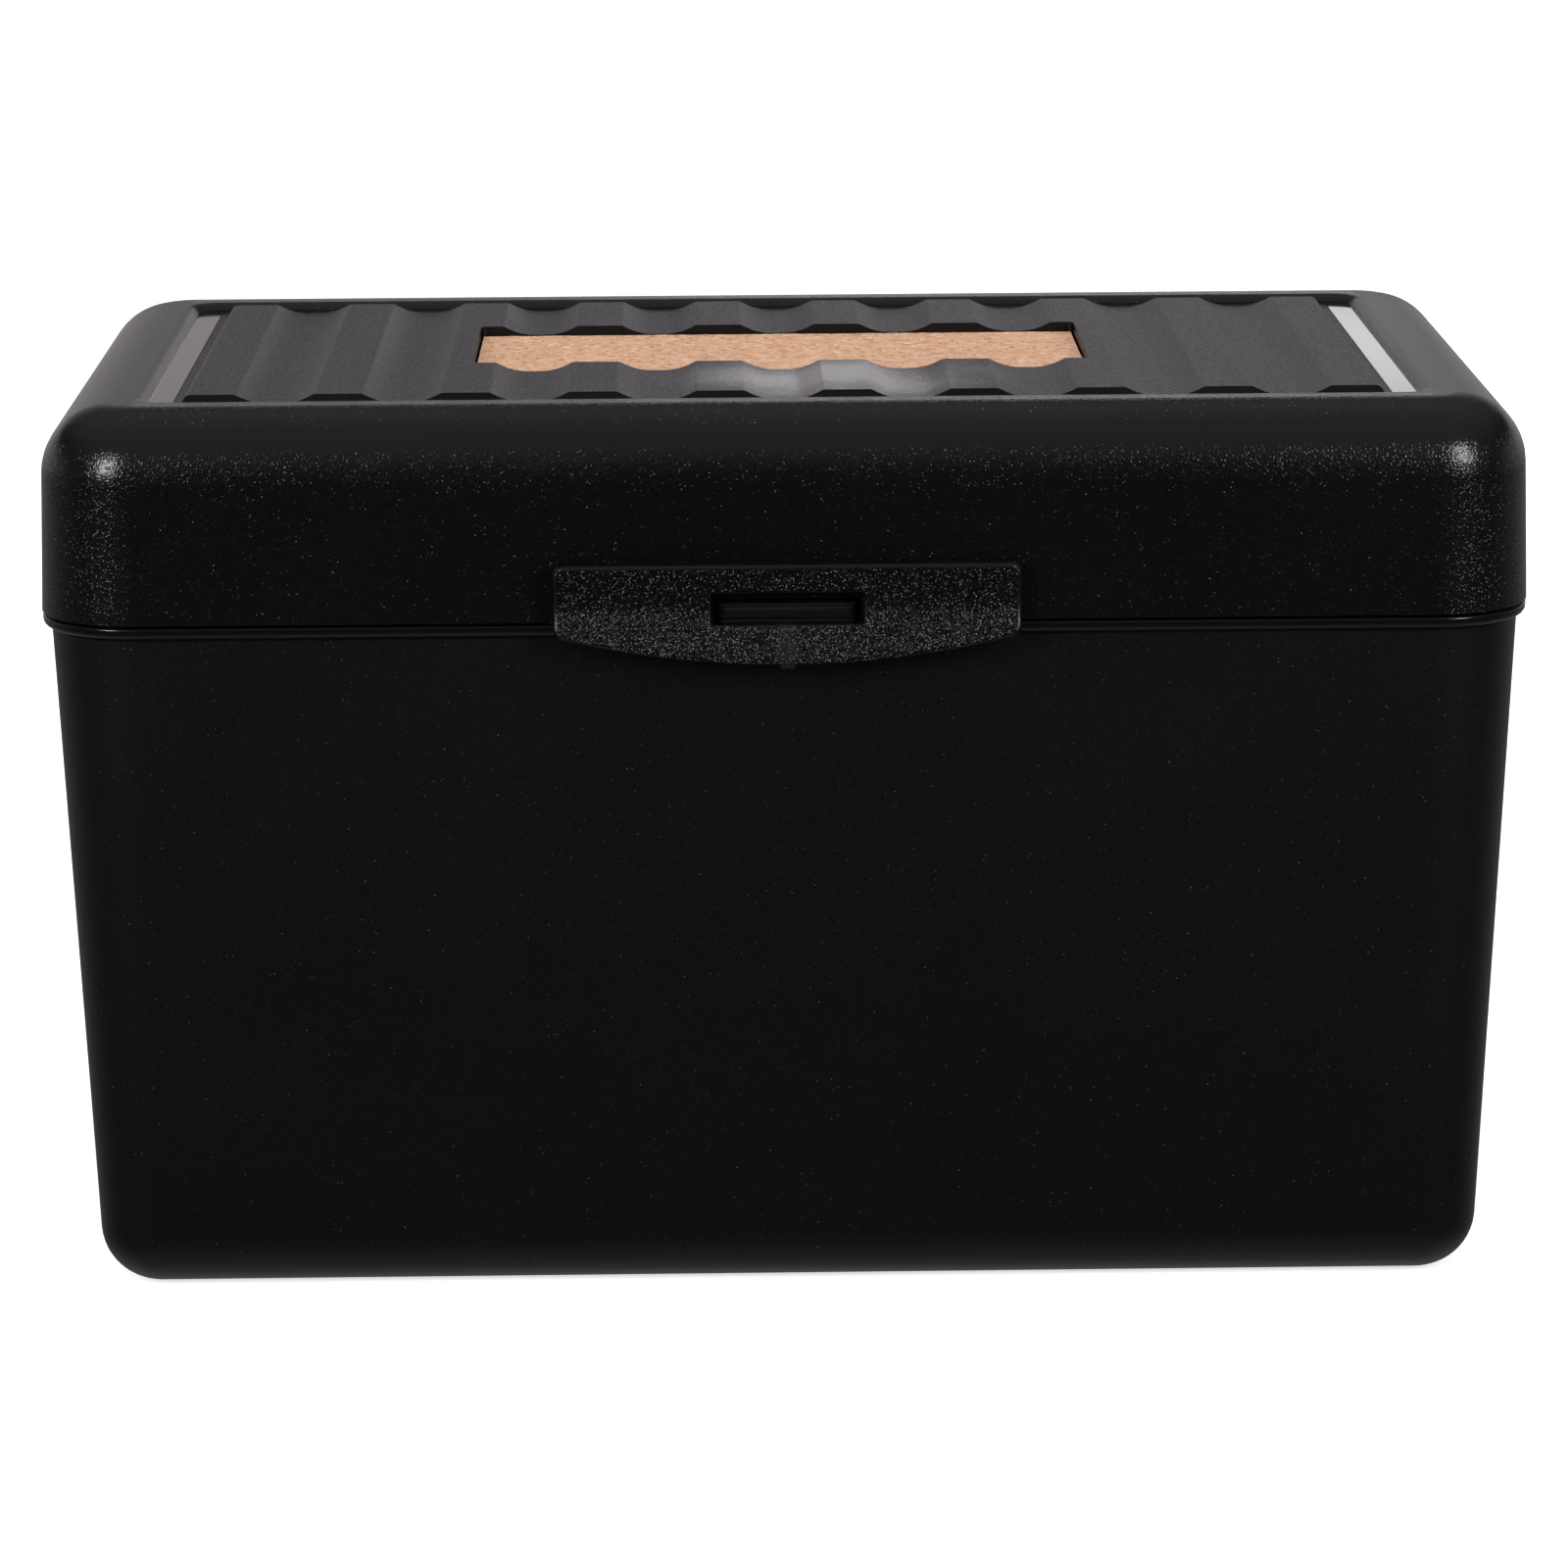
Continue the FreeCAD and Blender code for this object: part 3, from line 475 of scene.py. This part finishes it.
def clasp_finish():
    """Moulded polypropylene with a sharp sparkling texture.

    To the eye: many small glints, most of them painted on the grain's tips, a smooth band round the edge and
    a smooth strip at the moulding gate that is painted paler as painted sheen.
    """
    sizes, colours = bpy.context.scene.box_sizes, bpy.context.scene.finish_colours
    material, tree, place = new_finish("moulded_polypropylene_sharp_sparkle")
    grain = pebble_height(tree, place, colours.clasp_grain, least=0.45)
    side = add(tree, MATH, {0: add(tree, SEPARATE, {0: place}, out="X")}, operation="ABSOLUTE")
    height = add(tree, SEPARATE, {0: place}, out="Z")
    flat = add(tree, VECTOR, {0: place, 1: (1, 0, 1)}, operation="MULTIPLY")
    # Smooth band inside the flap's sides, its top and the arc of its foot
    from_side = add(tree, MATH, {0: clasp_high.x, 1: side}, operation="SUBTRACT")
    from_top = add(tree, MATH, {0: clasp_high.z, 1: height}, operation="SUBTRACT")
    seam = seam_height()
    sag = seam - sizes.clasp_side_drop - clasp_low.z
    arc = (clasp_high.x ** 2 + sag ** 2) / (2 * sag)
    arc_middle = Vector((0, 0, clasp_low.z + arc))
    spoke = add(tree, VECTOR, {0: flat, 1: arc_middle}, out="Value", operation="DISTANCE")
    from_foot = add(tree, MATH, {0: arc, 1: spoke}, operation="SUBTRACT")
    from_ends = add(tree, MATH, {0: from_side, 1: from_top}, operation="MINIMUM")
    from_edge = add(tree, MATH, {0: from_ends, 1: from_foot}, operation="MINIMUM")
    band = add(tree, RANGE, {VALUE: from_edge, START: 0.75 * MM, END: 0.45 * MM}, **SMOOTH)
    # Smooth strip from the window down to the gate, and the window's own walls
    window_low, window_high = seam + sizes.clasp_window_low, seam + sizes.clasp_window_high
    strip = add(tree, RANGE, {VALUE: side, START: 1.9 * MM, END: 0.5 * MM, LAST: 0.5}, **SMOOTH)
    below = add(tree, RANGE, {VALUE: height, START: window_low + 0.1 * MM, END: window_low}, **SMOOTH)
    gate = add(tree, MATH, {0: strip, 1: below}, operation="MULTIPLY")
    half = Vector((sizes.clasp_window_width / 2, 0, (window_high - window_low) / 2))
    middle = Vector((0, 0, (window_high + window_low) / 2))
    from_middle = add(tree, VECTOR, {0: flat, 1: middle}, operation="SUBTRACT")
    spread = add(tree, VECTOR, {0: from_middle}, operation="ABSOLUTE")
    past = add(tree, VECTOR, {0: spread, 1: half}, operation="SUBTRACT")
    beyond = add(tree, VECTOR, {0: past, 1: (0, 0, 0)}, operation="MAXIMUM")
    from_window = add(tree, VECTOR, {0: beyond}, out="Value", operation="LENGTH")
    reveal = add(tree, RANGE, {VALUE: from_window, START: 0.25 * MM, END: 0.1 * MM}, **SMOOTH)
    edges = add(tree, MATH, {0: band, 1: reveal}, operation="MAXIMUM")
    smooth = add(tree, MATH, {0: edges, 1: gate}, operation="MAXIMUM")
    kept = add(tree, MATH, {0: 1.0, 1: smooth}, operation="SUBTRACT")
    relief = add(tree, MATH, {0: grain, 1: kept}, operation="MULTIPLY")
    bump = add(tree, BUMP, {"Height": relief, "Strength": 1.0, "Distance": colours.clasp_relief})
    rough = add(tree, RANGE, {VALUE: smooth, FIRST: 0.2, LAST: 0.3})
    gloss = add(tree, RANGE, {VALUE: smooth, FIRST: 0.12, LAST: 0.45})
    clouded = clouded_black(tree, place, colours.clasp, colours.plastic, 20 * MM)
    # Painted sheen: the smooth gate strip is painted the insert's paler charcoal so that it reads as grey as
    # the sheen of the grain round it
    black = add(tree, MIX, {FACTOR: gate, COLOUR_A: clouded, COLOUR_B: colours.panel}, **IN_COLOUR)
    # Painted glints: a share of grain tips painted pale for their sparkle, denser on the lip below the fold
    # where the lamps' reflection falls
    on_upper, on_lip = 0.16, 0.36
    glint_share = add(tree, RANGE, {VALUE: height, START: seam + 2.6 * MM, END: seam + 1.4 * MM, FIRST: on_upper,
                                LAST: on_lip}, **SMOOTH)
    tips = painted_glint_tips(tree, place, 0.85 * colours.clasp_grain, glint_share)
    shown = add(tree, MATH, {0: tips, 1: kept}, operation="MULTIPLY")
    colour = add(tree, MIX, {FACTOR: shown, COLOUR_A: black, COLOUR_B: colours.glint_paint}, **IN_COLOUR)
    add(tree, OUTPUT, {"Surface": add(tree, PRINCIPLED, {
        "Base Color": colour, "Roughness": rough, "IOR": POLYPROPYLENE_IOR, "Specular IOR Level": gloss,
        "Normal": bump})})
    return material


def cork_finish():
    """Agglomerated cork: granules of ground bark pressed together with a binder.

    To the eye: a dry tan with paler and darker granules, fine creases darkened with painted shade and a few
    brown crumbs.
    """
    colours = bpy.context.scene.finish_colours
    material, tree, place = new_finish("agglomerated_cork")
    granule_scale = 1 / colours.cork_granule
    crumb_scale, grit_scale = 1.15 * granule_scale, 5 * granule_scale
    wander = add(tree, NOISE, {"Vector": place, "Scale": granule_scale * 0.8, "Detail": 2.0}, out="Color")
    push = [colours.cork_granule * 0.7] * 3
    shift = add(tree, VECTOR, {0: wander, 1: push}, operation="MULTIPLY")
    moved = add(tree, VECTOR, {0: place, 1: shift}, operation="ADD")
    granules = add(tree, VORONOI, {"Vector": moved, "Scale": granule_scale}, out="Color")
    crease = add(tree, VORONOI, {"Vector": moved, "Scale": granule_scale}, feature="DISTANCE_TO_EDGE")
    tones = add(tree, RAMP, {0: add(tree, SEPARATE, {0: granules}, out="X")})
    ramp = tones.node.color_ramp
    ramp.elements[0].color = colours.cork_dark
    ramp.elements[1].color = colours.cork_pale
    for place_on_ramp in (0.3, 0.75):
        ramp.elements.new(place_on_ramp).color = colours.cork_tan
    fine = add(tree, NOISE, {"Vector": place, "Scale": grit_scale, "Detail": 3.0})
    grit = add(tree, RANGE, {VALUE: fine, START: 0.3, END: 0.7, FIRST: 0.74, LAST: 1.16})
    grey_grit = add(tree, COMBINE, {0: grit, 1: grit, 2: grit})
    shaded = add(tree, MIX, {FACTOR: 1.0, COLOUR_A: tones, COLOUR_B: grey_grit}, blend_type="MULTIPLY",
                 **IN_COLOUR)
    # Painted shade: the creases between granules are darkened toward the dark cork
    crease_shade = add(tree, RANGE, {VALUE: crease, END: 0.08, FIRST: 0.35, LAST: 0.0}, **SMOOTH)
    crease_shaded = add(tree, MIX, {FACTOR: crease_shade, COLOUR_A: shaded, COLOUR_B: colours.cork_dark}, **IN_COLOUR)
    crumbs = add(tree, VORONOI, {"Vector": moved, "Scale": crumb_scale}, out="Distance")
    crumb_lot = add(tree, SEPARATE, {0: crumbs.node.outputs["Color"]}, out="Y")
    chosen = add(tree, RANGE, {VALUE: crumb_lot, START: 0.87, END: 0.9}, **SMOOTH)
    core = add(tree, RANGE, {VALUE: crumbs, START: 0.42, END: 0.3}, **SMOOTH)
    crumb = add(tree, MATH, {0: chosen, 1: core}, operation="MULTIPLY")
    amount = add(tree, MATH, {0: crumb, 1: 0.8}, operation="MULTIPLY")
    colour = add(tree, MIX, {FACTOR: amount, COLOUR_A: crease_shaded, COLOUR_B: colours.cork_bark}, **IN_COLOUR)
    relief = add(tree, MATH, {0: crease, 1: 0.6, 2: fine}, operation="MULTIPLY_ADD")
    bump = add(tree, BUMP, {"Height": relief, "Strength": 0.6, "Distance": 0.06 * MM})
    rough = add(tree, RANGE, {VALUE: fine, FIRST: 0.78, LAST: 0.92})
    add(tree, OUTPUT, {"Surface": add(tree, PRINCIPLED, {
        "Base Color": colour, "Roughness": rough, "IOR": CORK_IOR, "Specular IOR Level": 0.25,
        "Normal": bump})})
    return material


def steel_finish():
    """Drawn steel rod.

    To the eye: grey metal with fine draw lines along the pin.
    """
    material, tree, place = new_finish("drawn_steel")
    stretched = add(tree, VECTOR, {0: place, 1: (0.02, 1, 1)}, operation="MULTIPLY")
    lines = add(tree, NOISE, {"Vector": stretched, "Scale": 1 / (0.15 * MM), "Detail": 2.0})
    rough = add(tree, RANGE, {VALUE: lines, FIRST: 0.24, LAST: 0.4})
    bump = add(tree, BUMP, {"Height": lines, "Strength": 0.3, "Distance": 0.01 * MM})
    dark, pale = linear_colour("a9a9a7"), linear_colour("c2c2c0")
    colour = add(tree, MIX, {FACTOR: lines, COLOUR_A: dark, COLOUR_B: pale}, **IN_COLOUR)
    add(tree, OUTPUT, {"Surface": add(tree, PRINCIPLED, {
        "Base Color": colour, "Metallic": 1.0, "Roughness": rough, "Normal": bump})})
    return material


def tape_finish():
    """Double-sided tape: adhesive on a tissue carrier.

    To the eye: off-white and cloudy, with short fibres.
    """
    material, tree, place = new_finish("adhesive_tissue_tape")
    fibres = add(tree, NOISE, {
        "Vector": place, "Scale": 1 / (0.6 * MM), "Detail": 4.0, "Distortion": 1.5})
    dark, pale = linear_colour("d9d5c8"), linear_colour("efece2")
    colour = add(tree, MIX, {FACTOR: fibres, COLOUR_A: dark, COLOUR_B: pale}, **IN_COLOUR)
    rough = add(tree, RANGE, {VALUE: fibres, FIRST: 0.4, LAST: 0.6})
    add(tree, OUTPUT, {"Surface": add(tree, PRINCIPLED, {
        "Base Color": colour, "Roughness": rough, "IOR": ADHESIVE_IOR})})
    return material


def select_faces(mesh, test):
    """Selects the faces that pass a test, in object mode."""
    for polygon in mesh.polygons:
        polygon.select = test(polygon)
    for edge in mesh.edges:
        edge.select = False
    for vertex in mesh.vertices:
        vertex.select = False


def roughen(piece, name, kind, grain, strength, group):
    """Displaces a piece's grouped points by a texture of a given grain, and applies it."""
    texture = bpy.data.textures.new(name, kind)
    texture.noise_scale = grain
    modifier = piece.modifiers.new(name, "DISPLACE")
    modifier.texture = texture
    modifier.texture_coords = "LOCAL"
    modifier.vertex_group = group
    modifier.mid_level = 1.0
    modifier.strength = strength
    bpy.ops.object.modifier_apply(modifier=name)


class CASHBOX_OT_dress_tub(bpy.types.Operator):
    """Give the tub its fine matte black"""

    bl_idname = "cashbox.dress_tub"
    bl_label = "Tub finish"

    def execute(self, context):
        dress("body_tub", tub_finish())
        return {"FINISHED"}


class CASHBOX_OT_dress_lid(bpy.types.Operator):
    """Give the lid its leather-like grain, polished recess floor and smooth inside"""

    bl_idname = "cashbox.dress_lid"
    bl_label = "Lid finish"

    def execute(self, context):
        dress("lid_shell", lid_finish())
        return {"FINISHED"}


class CASHBOX_OT_dress_insert(bpy.types.Operator):
    """Give the corrugated insert its matte charcoal"""

    bl_idname = "cashbox.dress_insert"
    bl_label = "Insert finish"

    def execute(self, context):
        dress("corrugated_panel", panel_finish())
        return {"FINISHED"}


class CASHBOX_OT_dress_clasp(bpy.types.Operator):
    """Give the clasp its sharp sparkle, smooth edge band and gate strip"""

    bl_idname = "cashbox.dress_clasp"
    bl_label = "Clasp finish"

    def execute(self, context):
        dress("clasp", clasp_finish())
        return {"FINISHED"}


class CASHBOX_OT_dress_pins_and_tapes(bpy.types.Operator):
    """Give the pins their steel and the tapes their adhesive"""

    bl_idname = "cashbox.dress_pins_and_tapes"
    bl_label = "Pin and tape finish"

    def execute(self, context):
        steel, tape = steel_finish(), tape_finish()
        for name in ("hinge_pin_left", "hinge_pin_right", "clasp_pin"):
            dress(name, steel)
        for name in ("panel_tape", "cork_tape"):
            dress(name, tape)
        return {"FINISHED"}


class CASHBOX_OT_make_cork(bpy.types.Operator):
    """Model the cork sheet with granules on its top and crumbly edges"""

    bl_idname = "cashbox.make_cork"
    bl_label = "Cork sheet"

    def execute(self, context):
        granule, granule_depth = context.scene.finish_colours.cork_granule, 0.09 * MM
        pit, pit_depth = 0.4 * MM, 0.07 * MM
        size = cork_high - cork_low
        middle = (cork_low + cork_high) / 2
        cell = context.scene.box_sizes.cork_cell
        bpy.ops.object.select_all(action="DESELECT")
        bpy.ops.mesh.primitive_grid_add(
            x_subdivisions=round(size.x / cell), y_subdivisions=round(size.y / cell), size=1,
            location=(middle.x, middle.y, cork_low.z))
        sheet = context.active_object
        sheet.name = "cork_sheet"
        sheet.scale = (size.x, size.y, 1)
        bpy.ops.object.transform_apply(location=True, rotation=True, scale=True)
        bpy.ops.object.mode_set(mode="EDIT")
        bpy.ops.mesh.select_all(action="SELECT")
        bpy.ops.mesh.extrude_region_move(TRANSFORM_OT_translate={"value": (0, 0, size.z)})
        bpy.ops.mesh.select_all(action="SELECT")
        bpy.ops.mesh.normals_make_consistent(inside=False)
        bpy.ops.object.mode_set(mode="OBJECT")
        top = sheet.vertex_groups.new(name="top")
        top.add([v.index for v in sheet.data.vertices if v.co.z > middle.z], 1.0, "REPLACE")
        roughen(sheet, "granules", "VORONOI", granule, granule_depth, "top")
        roughen(sheet, "pits", "CLOUDS", pit, pit_depth, "top")
        bpy.ops.object.mode_set(mode="EDIT")
        bpy.ops.mesh.select_all(action="DESELECT")
        bpy.ops.object.mode_set(mode="OBJECT")
        # The flat underside becomes one face
        select_faces(sheet.data, lambda face: face.normal.z < -0.9)
        bpy.ops.object.mode_set(mode="EDIT")
        bpy.ops.mesh.select_mode(type="FACE")
        bpy.ops.mesh.dissolve_faces()
        bpy.ops.object.mode_set(mode="OBJECT")
        bpy.ops.object.shade_smooth_by_angle(angle=math.radians(50))
        sheet.data.materials.append(cork_finish())
        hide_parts("cork_pad")
        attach(sheet, "lid")
        return {"FINISHED"}


def around(target, distance, turn, rise):
    """Point at a distance from a target. A turn of 0 degrees is in front, and grows to the right."""
    turn, rise = math.radians(turn), math.radians(rise)
    level = distance * math.cos(rise)
    step = Vector((level * math.sin(turn), -level * math.cos(turn), distance * math.sin(rise)))
    return Vector(target) + step


def softbox(name, place, target, width, height, power):
    """Area lamp that faces a point."""
    lamp = bpy.data.lights.new(name, "AREA")
    lamp.shape = "RECTANGLE"
    lamp.size, lamp.size_y = width, height
    lamp.energy = power
    holder = bpy.data.objects.new(name, lamp)
    bpy.context.scene.collection.objects.link(holder)
    holder.location = place
    holder.rotation_mode = "QUATERNION"
    holder.rotation_quaternion = (Vector(target) - Vector(place)).to_track_quat("-Z", "Y")
    holder.visible_camera = False
    return holder


def studio_world(ambient):
    """White backdrop for the eye, and soft ambient light on the box.

    Reflections see a bright horizon behind the box, a dim sky over it and a dim ground below.
    """
    horizon, under_horizon, sky_top, ground_foot = 0.6, 0.18, 0.34, 0.2
    world = bpy.data.worlds.new("studio")
    world.use_nodes = True
    tree = world.node_tree
    tree.nodes.clear()
    camera_ray = add(tree, RAYS, out="Is Camera Ray")
    rays = camera_ray.node.outputs
    way = add(tree, COORDINATES, out="Generated")
    depth = add(tree, SEPARATE, {0: way}, out="Y")
    height = add(tree, SEPARATE, {0: way}, out="Z")
    behind = add(tree, RANGE, {VALUE: depth, START: -0.6, END: 1.0}, **SMOOTH)
    rise = add(tree, RANGE, {VALUE: height, START: -0.2, END: 0.02, FIRST: under_horizon, LAST: horizon},
               **SMOOTH)
    fall = add(tree, RANGE, {VALUE: height, START: 0.18, END: 0.34, FIRST: 1.0, LAST: 0.0}, **SMOOTH)
    ring = add(tree, MATH, {0: rise, 1: fall}, operation="MULTIPLY")
    band = add(tree, MATH, {0: ring, 1: behind}, operation="MULTIPLY")
    sky = add(tree, RANGE, {VALUE: height, START: 0.2, END: 1.0, LAST: sky_top}, **SMOOTH)
    ground = add(tree, RANGE, {VALUE: height, START: -0.42, END: -0.9, LAST: ground_foot}, **SMOOTH)
    around_box = add(tree, MATH, {0: sky, 1: ground}, operation="ADD")
    graded = add(tree, MATH, {0: band, 1: around_box}, operation="ADD")
    seen = add(tree, MATH, {0: graded, 1: camera_ray}, operation="MAXIMUM")
    reflected = linear_colour("fff8ff")
    tint = add(tree, MIX, {FACTOR: camera_ray, COLOUR_A: reflected, COLOUR_B: WHITE}, **IN_COLOUR)
    backdrop = add(tree, BACKGROUND, {"Color": tint, "Strength": seen})
    soft = add(tree, BACKGROUND, {"Color": WHITE, "Strength": ambient})
    mirrored = add(tree, MATH, {0: camera_ray, 1: rays["Is Glossy Ray"]}, operation="ADD")
    shown = add(tree, MATH, {0: mirrored, 1: rays["Is Transmission Ray"]}, operation="ADD", use_clamp=True)
    mixed = add(tree, "ShaderNodeMixShader", {0: shown, 1: soft, 2: backdrop})
    add(tree, "ShaderNodeOutputWorld", {"Surface": mixed})
    bpy.context.scene.world = world


def floor_finish():
    """Matte white table that reads as white to the eye and keeps the shadow."""
    glow_strength = 0.65
    material, tree, _ = new_finish("matte_white_table")
    camera_ray = add(tree, RAYS, out="Is Camera Ray")
    plain = add(tree, "ShaderNodeBsdfDiffuse", {"Color": linear_colour("f4f4f4")})
    lift = add(tree, MATH, {0: camera_ray, 1: glow_strength}, operation="MULTIPLY")
    glow = add(tree, "ShaderNodeEmission", {"Color": WHITE, "Strength": lift})
    add(tree, OUTPUT, {"Surface": add(tree, "ShaderNodeAddShader", {0: plain, 1: glow})})
    return material


class CASHBOX_OT_set_stage(bpy.types.Operator):
    """Set the table, the backdrop, the softboxes and the camera"""

    bl_idname = "cashbox.set_stage"
    bl_label = "Studio"

    def execute(self, context):
        scene, studio = context.scene, context.scene.studio
        scene.view_settings.view_transform = "Standard"
        bpy.ops.object.select_all(action="DESELECT")
        bpy.ops.mesh.primitive_plane_add(size=12, location=(0, 0, -0.05 * MM))
        table = context.active_object
        table.name = "table"
        bpy.ops.object.transform_apply(location=True, rotation=True, scale=True)
        table.data.materials.append(floor_finish())
        table.visible_glossy = False
        studio_world(studio.ambient)
        front = (0, lid_low.y, 0.11)
        top = (0, 0, lid_high.z)
        for name, turn in (("softbox_left", -41), ("softbox_right", 41)):
            place = around(front, distance=0.95, turn=turn, rise=22)
            softbox(name, place, front, width=0.2, height=0.4, power=studio.softbox_power)
        place = around(top, distance=1.0, turn=180, rise=65)
        overhead = softbox("softbox_top", place, top, width=0.7, height=0.5, power=studio.top_power)
        overhead.visible_glossy = False
        place = around(top, distance=1.3, turn=174.2, rise=9.03)
        softbox("softbox_back", place, top, width=0.34, height=0.05, power=studio.back_power)
        lens = bpy.data.cameras.new("camera")
        lens.lens = studio.lens
        lens.sensor_width = 36
        camera = bpy.data.objects.new("camera", lens)
        scene.collection.objects.link(camera)
        camera.matrix_world = (
            Matrix.Translation(studio.camera_place)
            @ Matrix.Rotation(-studio.camera_yaw, 4, "Z")
            @ Matrix.Rotation(math.pi / 2 - studio.camera_pitch, 4, "X")
            @ Matrix.Rotation(-studio.camera_roll, 4, "Z"))
        scene.camera = camera
        return {"FINISHED"}


class CASHBOX_PT_sidebar(bpy.types.Panel):
    """Cash box finishes and studio"""

    bl_idname = "CASHBOX_PT_sidebar"
    bl_label = "Cash box"
    bl_space_type = "VIEW_3D"
    bl_region_type = "UI"
    bl_category = "Cash box"

    def draw(self, context):
        for step in STEPS:
            self.layout.operator(step.bl_idname)
        for group in (context.scene.box_sizes, context.scene.finish_colours, context.scene.studio):
            box = self.layout.box()
            for name in group.bl_rna.properties.keys():
                if name not in ("rna_type", "name"):
                    box.prop(group, name)


STEPS = (
    CASHBOX_OT_dress_tub,
    CASHBOX_OT_dress_lid,
    CASHBOX_OT_dress_insert,
    CASHBOX_OT_dress_clasp,
    CASHBOX_OT_dress_pins_and_tapes,
    CASHBOX_OT_make_cork,
    CASHBOX_OT_set_stage,
)
CLASSES = (BoxSizes, FinishColours, StudioSettings, *STEPS, CASHBOX_PT_sidebar)


def register():
    """Registers the classes and hangs the settings on the scene."""
    for made in CLASSES:
        bpy.utils.register_class(made)
    bpy.types.Scene.box_sizes = PointerProperty(type=BoxSizes)
    bpy.types.Scene.finish_colours = PointerProperty(type=FinishColours)
    bpy.types.Scene.studio = PointerProperty(type=StudioSettings)


def unregister():
    """Takes the settings and classes away again."""
    del bpy.types.Scene.studio
    del bpy.types.Scene.finish_colours
    del bpy.types.Scene.box_sizes
    for made in reversed(CLASSES):
        bpy.utils.unregister_class(made)


def main():
    register()
    bpy.ops.cashbox.dress_tub()
    bpy.ops.cashbox.dress_lid()
    bpy.ops.cashbox.dress_insert()
    bpy.ops.cashbox.dress_clasp()
    bpy.ops.cashbox.dress_pins_and_tapes()
    bpy.ops.cashbox.make_cork()
    bpy.ops.cashbox.set_stage()


if __name__ == "__main__":
    main()
